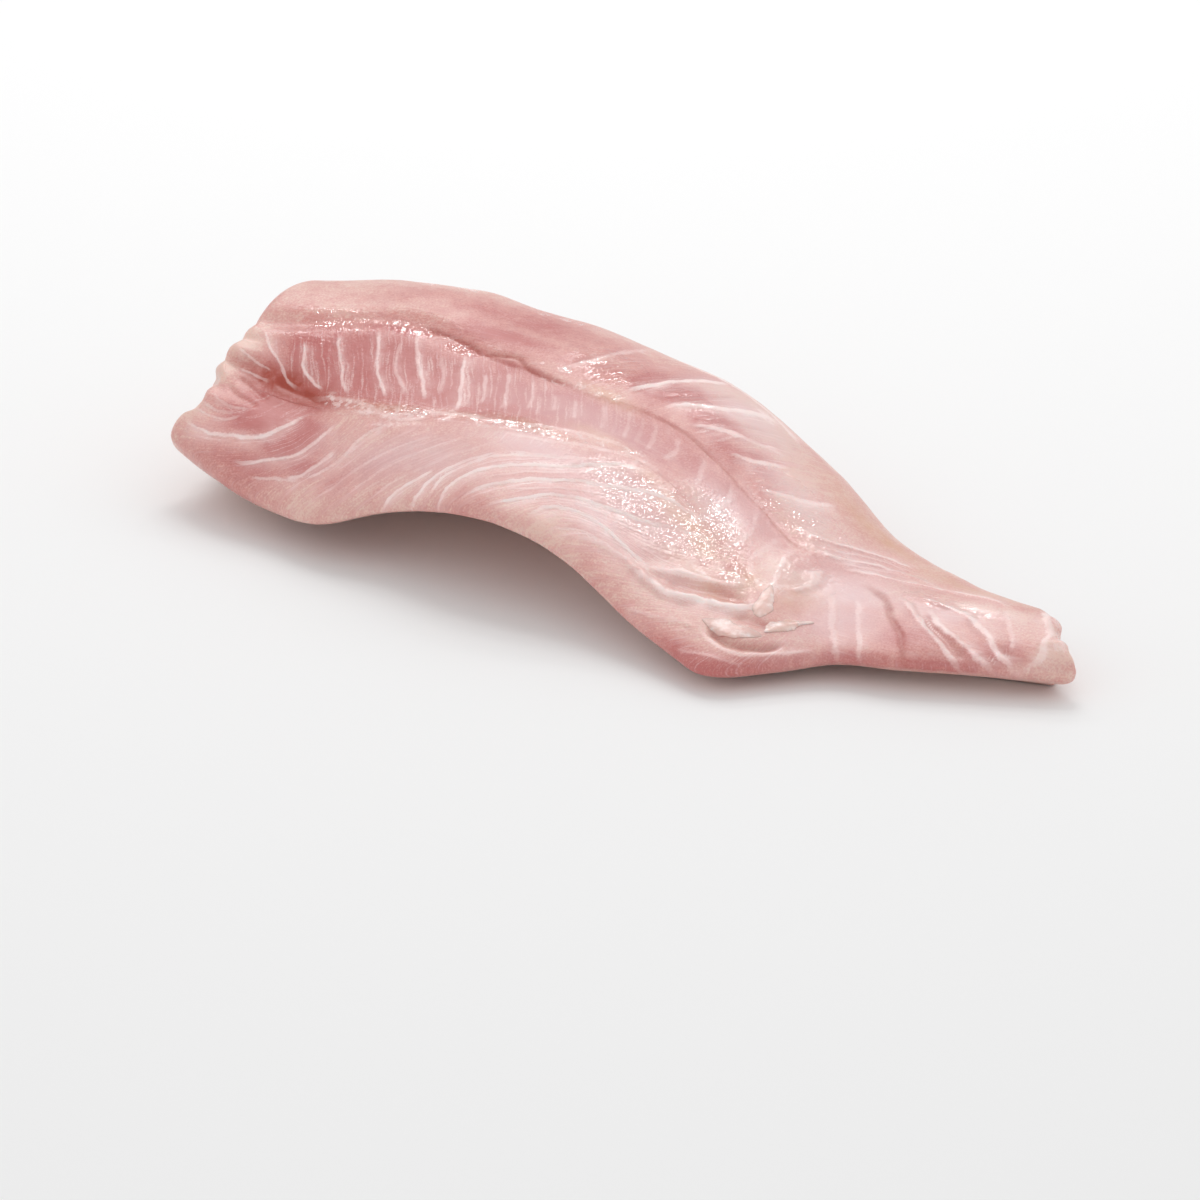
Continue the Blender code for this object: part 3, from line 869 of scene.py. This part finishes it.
def build_scrap(scrap, ground, shift):
    """A thin flake of tissue that lies on the flesh along its route, with a ragged,
    lifted edge."""
    mesh = bpy.data.meshes.new(scrap.name)
    bm = bmesh.new()
    bmesh.ops.create_uvsphere(bm, u_segments=SCRAP_SIDES, v_segments=SCRAP_RINGS, radius=1.0)
    points = np.array(scrap.route, float)
    shares = np.linspace(0.0, 1.0, len(points))
    stations = np.column_stack([shares, points, scrap.widths])
    for vert in bm.verts:
        side, height, run = vert.co.x, vert.co.y, vert.co.z
        share = np.array([0.5 + 0.5 * run])
        further = np.minimum(share + COURSE_STEP, 1.0)
        x, across, width = (float(along(stations, share, k)[0]) for k in (1, 2, 3))
        next_x, next_across = (float(along(stations, further, k)[0]) for k in (1, 2))
        course = Vector((next_x - x, (next_across - across) * ACROSS_MM, 0.0))
        course = course.normalized() if course.length > 1e-6 else Vector((1.0, 0.0, 0.0))
        ragged = 1.0 + scrap.ragged * noise.noise(Vector((run * 2.5, side * 1.2, scrap.seed)))
        ragged += 0.35 * scrap.ragged * noise.noise(Vector((run * 8.0, side * 1.5, scrap.seed)))
        out = side * width / 2 * ragged
        x -= course.y * out
        across += course.x * out / ACROSS_MM
        turn = np.arccos(1.0 - 2.0 * np.clip(np.array([across]), 0.01, 0.99))
        y, z = section(np.array([x]), turn)
        place = Vector((x, float(y[0]), float(z[0]))) * MM + shift
        hit, normal = nearest(ground, place)
        ripple = 0.5 + 0.5 * noise.noise(Vector((run * 2.5, side * 1.5, scrap.seed + 5.0)))
        edge = max(side * math.copysign(1.0, scrap.lean), 0.0)
        raised = scrap.lift * ripple + abs(scrap.lean) * edge ** 2
        vert.co = hit + normal * (raised + height * scrap.thick / 2) * MM
    bmesh.ops.recalc_face_normals(bm, faces=bm.faces)
    bm.to_mesh(mesh)
    bm.free()
    mesh.shade_smooth()
    return add_object(scrap.name, mesh)


class Socket:
    """A node's output. Sums with it add Math nodes."""

    def __init__(self, finish, output):
        self.finish = finish
        self.output = output

    def math(self, operation, *inputs):
        settings = {"operation": operation}
        return self.finish.node("ShaderNodeMath", settings, dict(enumerate(inputs)))

    def __add__(self, other):
        return self.math("ADD", self, other)

    def __sub__(self, other):
        return self.math("SUBTRACT", self, other)

    def __mul__(self, other):
        return self.math("MULTIPLY", self, other)

    def __rsub__(self, other):
        return self.math("SUBTRACT", other, self)

    __radd__ = __add__
    __rmul__ = __mul__

    def between(self, low, high):
        """Rise smoothly from 0 at low to 1 at high."""
        settings = {"interpolation_type": "SMOOTHSTEP"}
        inputs = {"Value": self, "From Min": low, "From Max": high}
        return self.finish.node("ShaderNodeMapRange", settings, inputs)

    def clipped(self):
        return self.finish.node("ShaderNodeClamp", {}, {"Value": self})


class Finish:
    """A material in the making, with its Principled shader and its coordinates."""

    def __init__(self, name):
        self.material = bpy.data.materials.new(name)
        self.material.use_nodes = True
        self.tree = self.material.node_tree
        self.surface = self.tree.nodes["Principled BSDF"]
        self.place = self.node("ShaderNodeTexCoord", {}, {}, "Object")

    def node(self, kind, settings, inputs, output=0):
        """Add a node: first its settings, then the values or links of its sockets."""
        made = self.tree.nodes.new(kind)
        for name, value in settings.items():
            if name == "stops":
                self.set_stops(made.color_ramp, value)
            else:
                setattr(made, name, value)
        for name, value in inputs.items():
            self.feed(made.inputs[name], value)
        return Socket(self, made.outputs[output])

    def feed(self, socket, value):
        """Link a socket or set its value; a colour of three numbers is opaque."""
        if isinstance(value, Socket):
            self.tree.links.new(value.output, socket)
        elif socket.type == "RGBA" and len(value) == 3:
            socket.default_value = (*value, 1.0)
        else:
            socket.default_value = value

    def set_stops(self, ramp, stops):
        while len(ramp.elements) < len(stops):
            ramp.elements.new(1.0)
        for element, (position, colour) in zip(ramp.elements, stops):
            element.position = position
            element.color = colour

    def attribute(self, name):
        return self.node("ShaderNodeAttribute", {"attribute_name": name}, {}, "Fac")

    def speckle(self, size, detail=2.0, stretch=(1.0, 1.0, 1.0), turn=(0.0, 0.0, 0.0)):
        """Noise about 0.5, of a size in metres, drawn out along the stretched axes."""
        scale = tuple(1.0 / (size * length) for length in stretch)
        inputs = {"Vector": self.place, "Scale": scale, "Rotation": turn}
        return self.clouds(self.node("ShaderNodeMapping", {}, inputs), detail)

    def clouds(self, vector, detail):
        """Noise about 0.5 that takes its place from a vector."""
        return self.node("ShaderNodeTexNoise", {}, {"Vector": vector, "Scale": 1.0, "Detail": detail})

    def pair(self, first, second):
        """A vector of two values."""
        return self.node("ShaderNodeCombineXYZ", {}, {0: first, 1: second})

    def bump(self, height, distance):
        return self.node("ShaderNodeBump", {}, {"Strength": 1.0, "Distance": distance, "Height": height})

    def mix(self, share, first, second):
        """Blend two colours."""
        settings = {"data_type": "RGBA"}
        return self.node("ShaderNodeMix", settings, {0: share, 6: first, 7: second}, 2)

    def set(self, **values):
        """Set the shader's own sockets, named with underscores for spaces."""
        for name, value in values.items():
            self.feed(self.surface.inputs[name.replace("_", " ")], value)


# Sizes of the finish's noises, and the height of its bump, in metres.
CLOUD_SIZE = 0.016
MOTTLE_SIZE = 0.0035
GRAIN_SIZE = 0.0013
FINE_SIZE = 0.0006
FACET_SIZE = 0.0011
FIBRE_SIZE = 0.0010
FIBRE_STRETCH = (14.0, 1.0, 1.0)
FIBRE_TURN = (0.0, 0.0, 0.05)
BUMP_HEIGHT = 0.0006
# How many bent fibres there are to a mm along the fillet and across them, and how much
# more often the wet threads break off.
FLOW_FIBRES = 0.9
DRIFT_FIBRES = 0.07
THREAD_BREAKS = 4.0
BLOOD_BASE = 0.26
PINK_AT = 0.4
DRY_ROUGHNESS = 0.36
WET_GAIN = 0.31


def flesh_finish(looks):
    """Moist raw flesh: pink between white lines, bloodier in the bone bed."""
    finish = Finish("raw_flesh")
    flesh = SimpleNamespace(**{name: finish.attribute(name) for name in ATTRIBUTES})
    clouds = finish.speckle(CLOUD_SIZE, 3.0)
    mottle = finish.speckle(MOTTLE_SIZE, 3.0)
    grain = finish.speckle(GRAIN_SIZE, 2.0)
    fine = finish.speckle(FINE_SIZE, 1.0)
    straight = finish.speckle(FIBRE_SIZE, 3.0, FIBRE_STRETCH, FIBRE_TURN)
    flow = flesh.flow * FLOW_FIBRES
    drift = flesh.width * DRIFT_FIBRES
    bent = finish.clouds(finish.pair(flow, drift), 3.0)
    fibres = straight + (bent - straight) * flesh.curved

    blood = flesh.blood + BLOOD_BASE + (clouds - 0.5) * 0.7 + (mottle - 0.5) * 0.6
    blood = blood + (fibres - 0.5) * (0.35 + flesh.curved * 0.8) + (fine - 0.5) * 0.9
    stops = (
        (0.0, (*looks.pale, 1.0)),
        (PINK_AT, (*looks.pink, 1.0)),
        (1.0, (*looks.deep, 1.0)),
    )
    colour = finish.node("ShaderNodeValToRGB", {"stops": stops}, {"Fac": blood.clipped()})
    cool = (flesh.cool * (0.45 + clouds * 0.7)).clipped()
    colour = finish.mix(cool * 0.75, colour, looks.cool)
    # Tan: fatty places, and painted shade on the back's edge.
    tan = (flesh.tan * (mottle * 1.6 - 0.1)).clipped()
    colour = finish.mix(tan * 0.8, colour, looks.tan)
    strand = (fibres + (fine - 0.5) * 0.3).between(0.5, 0.78)
    strand = strand * (0.15 + flesh.curved * 0.2 + flesh.haze * 0.6)
    colour = finish.mix(strand, colour, looks.tissue)
    veil = (flesh.haze * 0.8 * clouds.between(0.1, 0.7) * mottle.between(0.1, 0.7)).clipped()
    colour = finish.mix(veil, colour, looks.tissue)
    pit = (flesh.pit * (0.1 + mottle * 1.1 + grain * 0.7)).clipped()
    colour = finish.mix(pit * 0.95, colour, looks.pit)
    # Painted shade in the creases, in the blood colour.
    dark = (flesh.dark * (0.3 + mottle * 0.6)).clipped()
    colour = finish.mix(dark, colour, looks.pit)

    away = flesh.side.math("ABSOLUTE", flesh.side) + (mottle - 0.5) * 1.3 + (fine - 0.5) * 0.6
    edge = (1.0 - away.between(0.25, 0.95)) * (1.0 - flesh.near.between(1.1, 1.5))
    white = (edge * flesh.line * (clouds * 1.5 - 0.1)).clipped()
    colour = finish.mix(white, colour, looks.tissue)
    # Pale: membrane veils, and a painted highlight on the back's edge.
    pale = flesh.pale * (0.4 + clouds * 1.2) + (grain - 0.5) * 0.5
    colour = finish.mix(pale.between(0.35, 0.75) * 0.8, colour, looks.tissue)
    shred = (mottle * 0.6 + grain * 0.4 + flesh.rag * 0.05).between(0.51, 0.62)
    shred = shred * flesh.rag.between(0.05, 0.8)
    colour = finish.mix(shred * 0.55, colour, looks.tissue)
    film = (flesh.wet * (0.5 + mottle * 0.8) + shred * 0.3).clipped()

    skin = finish.mix(clouds.between(0.35, 0.65) * 0.5, looks.pale, looks.pink)
    lateral = flesh.across.between(0.42, 0.49) * (1.0 - flesh.across.between(0.53, 0.60))
    skin = finish.mix((lateral * (0.3 + mottle)).clipped() * 0.7, skin, looks.deep)
    colour = finish.mix(flesh.under, colour, skin)

    threads = finish.clouds(finish.pair(flow, drift * THREAD_BREAKS), 0.0)
    facets = finish.speckle(FACET_SIZE, 0.0)
    height = fibres * 0.1 + mottle * 0.12 + grain * 0.06 + facets * (0.05 + flesh.wet * 0.15)
    height = height + threads * flesh.curved * (0.04 + flesh.wet * 0.11)
    finish.set(
        Base_Color=colour,
        Roughness=DRY_ROUGHNESS - film.between(0.0, 0.6) * WET_GAIN,
        Specular_IOR_Level=0.55,
        Subsurface_Weight=0.35,
        Subsurface_Radius=(1.0, 0.5, 0.4),
        Subsurface_Scale=0.0008,
        Normal=finish.bump(height, BUMP_HEIGHT),
    )
    return finish.material


SCRAP_MOTTLE_SIZE = 0.0030
SCRAP_BUMP_HEIGHT = 0.0004


def scrap_finish(looks, name, pink):
    """Loose white tissue, paler than the flesh, with some of the flesh's pink."""
    finish = Finish(name)
    mottle = finish.speckle(SCRAP_MOTTLE_SIZE, 3.0)
    colour = finish.mix(mottle.between(0.3, 0.6) * 0.7 + 0.1, looks.tissue, looks.pale)
    colour = finish.mix(pink * mottle.between(0.2, 0.7), colour, looks.pink)
    finish.set(
        Base_Color=colour,
        Roughness=0.2,
        Specular_IOR_Level=0.6,
        Subsurface_Weight=0.5,
        Subsurface_Radius=(1.0, 0.6, 0.5),
        Subsurface_Scale=0.0012,
        Normal=finish.bump(mottle, SCRAP_BUMP_HEIGHT),
    )
    return finish.material


def floor_finish(colour):
    """Plain, pale and matt."""
    finish = Finish("floor")
    finish.set(Base_Color=colour, Roughness=0.6, Specular_IOR_Level=0.2)
    return finish.material


def count_property(name, description, default, least):
    """A whole number that is at its most by default."""
    return IntProperty(name=name, description=description, default=default, min=least, max=default)


def number_property(name, description, default, **more):
    return FloatProperty(name=name, description=description, default=default, **more)


def colour_property(name, description, default):
    return FloatVectorProperty(
        name=name, description=description, subtype="COLOR", size=3, min=0.0, max=1.0, default=default
    )


class FilletSizes(bpy.types.PropertyGroup):
    """How finely the fillet is made, and where its tables lie in the frame."""
    rings: count_property("Rings", "Rings of the flesh's mesh from head to tail", 412, 64)
    sides: count_property("Sides", "Sides of the flesh's mesh round the fillet", 240, 50)
    relief: number_property("Relief", "How deep the flakes and folds are", 1.0, min=0.0, max=2.0)
    shift: FloatVectorProperty(
        name="Shift", description="From the tables' origin to the frame's; the flesh sets it",
        subtype="TRANSLATION", unit="LENGTH", size=3,
    )


class FilletLooks(bpy.types.PropertyGroup):
    """The fillet's colours."""
    pale: colour_property("Pale flesh", "Flesh of the belly and the rims", (0.80, 0.54, 0.465))
    pink: colour_property("Pink flesh", "Most of the flesh", (0.70, 0.345, 0.31))
    deep: colour_property("Deep flesh", "Flesh next to the backbone", (0.53, 0.15, 0.14))
    # The blood colour also paints the shade in the creases.
    pit: colour_property("Blood", "The pit and the creases", (0.38, 0.045, 0.02))
    cool: colour_property("Cool flesh", "Thin, bluish pink flesh of the flank", (0.78, 0.56, 0.57))
    # Tan also carries the painted shade on the back's edge.
    tan: colour_property("Tan", "Fatty, tan places along the seams", (0.70, 0.42, 0.25))
    tissue: colour_property("Tissue", "White lines, membranes and scraps", (1.0, 0.80, 0.77))


class StudioSettings(bpy.types.PropertyGroup):
    """The floor, the lights and the camera."""
    floor: colour_property("Floor", "Colour of the floor", (0.9, 0.9, 0.9))
    key: number_property("Key light", "Power of the lamps behind, together", 4.2, unit="POWER")
    side: number_property("Side light", "Power of the wide light on the right", 1.9, unit="POWER")
    fill: number_property("Fill light", "Power of the large light in front", 1.2, unit="POWER")
    sky: number_property("Sky", "Brightness of the white surroundings", 0.75, min=0.0)
    azimuth: number_property(
        "Azimuth", "Where the camera stands round the fillet", math.radians(27.97), subtype="ANGLE"
    )
    elevation: number_property(
        "Elevation", "How high the camera looks down from", math.radians(22.741), subtype="ANGLE"
    )
    roll: number_property("Roll", "How far the camera leans", math.radians(0.594), subtype="ANGLE")
    distance: number_property("Distance", "From the camera to its aim", 2.179, unit="LENGTH")
    lens: number_property("Lens", "Focal length", 229.9, unit="CAMERA")


AIM = Vector((0.0, -0.0299, 0.0))


def from_camera_side(settings, azimuth, elevation, distance):
    """A place round the aim; azimuth 0 is the camera's own side."""
    turned = settings.azimuth + azimuth
    flat = Vector((math.sin(turned), -math.cos(turned), 0.0)) * math.cos(elevation)
    return AIM + (flat + Vector((0.0, 0.0, math.sin(elevation)))) * distance


def soft_light(name, settings, azimuth, elevation, distance, size, power):
    """A rectangular light that faces the aim; its angles are in degrees."""
    lamp = bpy.data.lights.new(name, "AREA")
    lamp.shape = "RECTANGLE"
    lamp.size, lamp.size_y = size
    lamp.energy = power
    light = add_object(name, lamp)
    place = from_camera_side(settings, math.radians(azimuth), math.radians(elevation), distance)
    light.location = place
    light.rotation_euler = (AIM - place).to_track_quat("-Z", "Y").to_euler()


# The bank of small lamps behind the fillet: angles round and above it, their distance
# and a lamp's size in metres.
BANK_AZIMUTHS = (168, 179, 190, 201)
BANK_ELEVATIONS = (38, 50, 62)
BANK_DISTANCE = 1.3
BANK_LAMP = (0.06, 0.05)
# The wide lights: azimuth and elevation, distance and size.
WIDE_LIGHTS = (
    ("side", 135.0, 45.0, 1.6, (1.2, 1.0)),
    ("fill", -40.0, 35.0, 1.8, (1.4, 1.0)),
)
FLOOR_SIZE = 4.0
FLOOR_DROP = 0.0003
SENSOR_WIDTH = 36.0
VIEW_END = 20.0


def build_stage(settings):
    """A pale floor, a bank of small lamps behind, soft lights round and the camera."""
    mesh = bpy.data.meshes.new("floor")
    bm = bmesh.new()
    low = Matrix.Translation((0.0, 0.0, -FLOOR_DROP))
    bmesh.ops.create_grid(bm, x_segments=1, y_segments=1, size=FLOOR_SIZE, matrix=low)
    bm.to_mesh(mesh)
    bm.free()
    floor = add_object("floor", mesh)
    floor.data.materials.append(floor_finish(settings.floor))
    floor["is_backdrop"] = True

    count = len(BANK_AZIMUTHS) * len(BANK_ELEVATIONS)
    for azimuth in BANK_AZIMUTHS:
        for elevation in BANK_ELEVATIONS:
            name = "bank_%d_%d" % (azimuth, elevation)
            place = (azimuth, elevation, BANK_DISTANCE)
            soft_light(name, settings, *place, BANK_LAMP, settings.key / count)
    for name, azimuth, elevation, distance, size in WIDE_LIGHTS:
        power = getattr(settings, name)
        soft_light(name, settings, azimuth, elevation, distance, size, power)
    world = bpy.data.worlds.new("studio")
    world.use_nodes = True
    sky = world.node_tree.nodes["Background"]
    sky.inputs["Color"].default_value = (1.0, 1.0, 1.0, 1.0)
    sky.inputs["Strength"].default_value = settings.sky
    scene = bpy.context.scene
    scene.world = world
    scene.view_settings.view_transform = "Standard"

    camera = add_object("camera", bpy.data.cameras.new("camera"))
    camera.data.lens = settings.lens
    camera.data.sensor_width = SENSOR_WIDTH
    camera.data.clip_end = VIEW_END
    place = from_camera_side(settings, 0.0, settings.elevation, settings.distance)
    look = (AIM - place).to_track_quat("-Z", "Y").to_matrix().to_4x4()
    camera.matrix_world = Matrix.Translation(place) @ look @ Matrix.Rotation(settings.roll, 4, "Z")
    scene.camera = camera


class FILLET_OT_flesh(bpy.types.Operator):
    """Build the fillet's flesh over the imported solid"""
    bl_idname = "fillet.flesh"
    bl_label = "Flesh"

    def execute(self, context):
        scene = context.scene
        flesh = build_flesh(scene.fillet_sizes)
        flesh.data.materials.append(flesh_finish(scene.fillet_looks))
        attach(flesh, "root")
        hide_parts("fillet")
        return {"FINISHED"}


class FILLET_OT_scraps(bpy.types.Operator):
    """Lay the loose scraps of tissue on the belly flap"""
    bl_idname = "fillet.scraps"
    bl_label = "Scraps"

    def execute(self, context):
        flesh = bpy.data.objects["flesh"]
        ground = BVHTree.FromObject(flesh, context.evaluated_depsgraph_get())
        looks = context.scene.fillet_looks
        for scrap in SCRAPS:
            piece = build_scrap(scrap, ground, Vector(context.scene.fillet_sizes.shift))
            piece.data.materials.append(scrap_finish(looks, "tissue_" + scrap.name, scrap.pink))
            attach(piece, "root")
        return {"FINISHED"}


class FILLET_OT_stage(bpy.types.Operator):
    """Set up the floor, the lights and the camera"""
    bl_idname = "fillet.stage"
    bl_label = "Stage"

    def execute(self, context):
        build_stage(context.scene.fillet_studio)
        return {"FINISHED"}


class FILLET_PT_panel(bpy.types.Panel):
    """Lists the fillet's operators and settings"""
    bl_idname = "FILLET_PT_panel"
    bl_label = "Nile Perch Fillet"
    bl_space_type = "VIEW_3D"
    bl_region_type = "UI"
    bl_category = "Fillet"

    def draw(self, context):
        for name in ORDER:
            self.layout.operator("fillet." + name)
        scene = context.scene
        for group in (scene.fillet_sizes, scene.fillet_looks, scene.fillet_studio):
            for name in group.bl_rna.properties.keys():
                if name not in ("rna_type", "name"):
                    self.layout.prop(group, name)


ORDER = ("flesh", "scraps", "stage")
CLASSES = (
    FilletSizes,
    FilletLooks,
    StudioSettings,
    FILLET_OT_flesh,
    FILLET_OT_scraps,
    FILLET_OT_stage,
    FILLET_PT_panel,
)


def register():
    for cls in CLASSES:
        bpy.utils.register_class(cls)
    bpy.types.Scene.fillet_sizes = PointerProperty(type=FilletSizes)
    bpy.types.Scene.fillet_looks = PointerProperty(type=FilletLooks)
    bpy.types.Scene.fillet_studio = PointerProperty(type=StudioSettings)


def unregister():
    del bpy.types.Scene.fillet_studio
    del bpy.types.Scene.fillet_looks
    del bpy.types.Scene.fillet_sizes
    for cls in reversed(CLASSES):
        bpy.utils.unregister_class(cls)


def main():
    """Build the fillet and its stage, and work out both boxes."""
    register()
    bpy.ops.fillet.flesh()
    bpy.ops.fillet.scraps()
    bpy.ops.fillet.stage()
    boxes = {"cad": CAD_BOX, "visual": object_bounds()}
    boxes = {name: [list(corner) for corner in box] for name, box in boxes.items()}


if __name__ == "__main__":
    main()
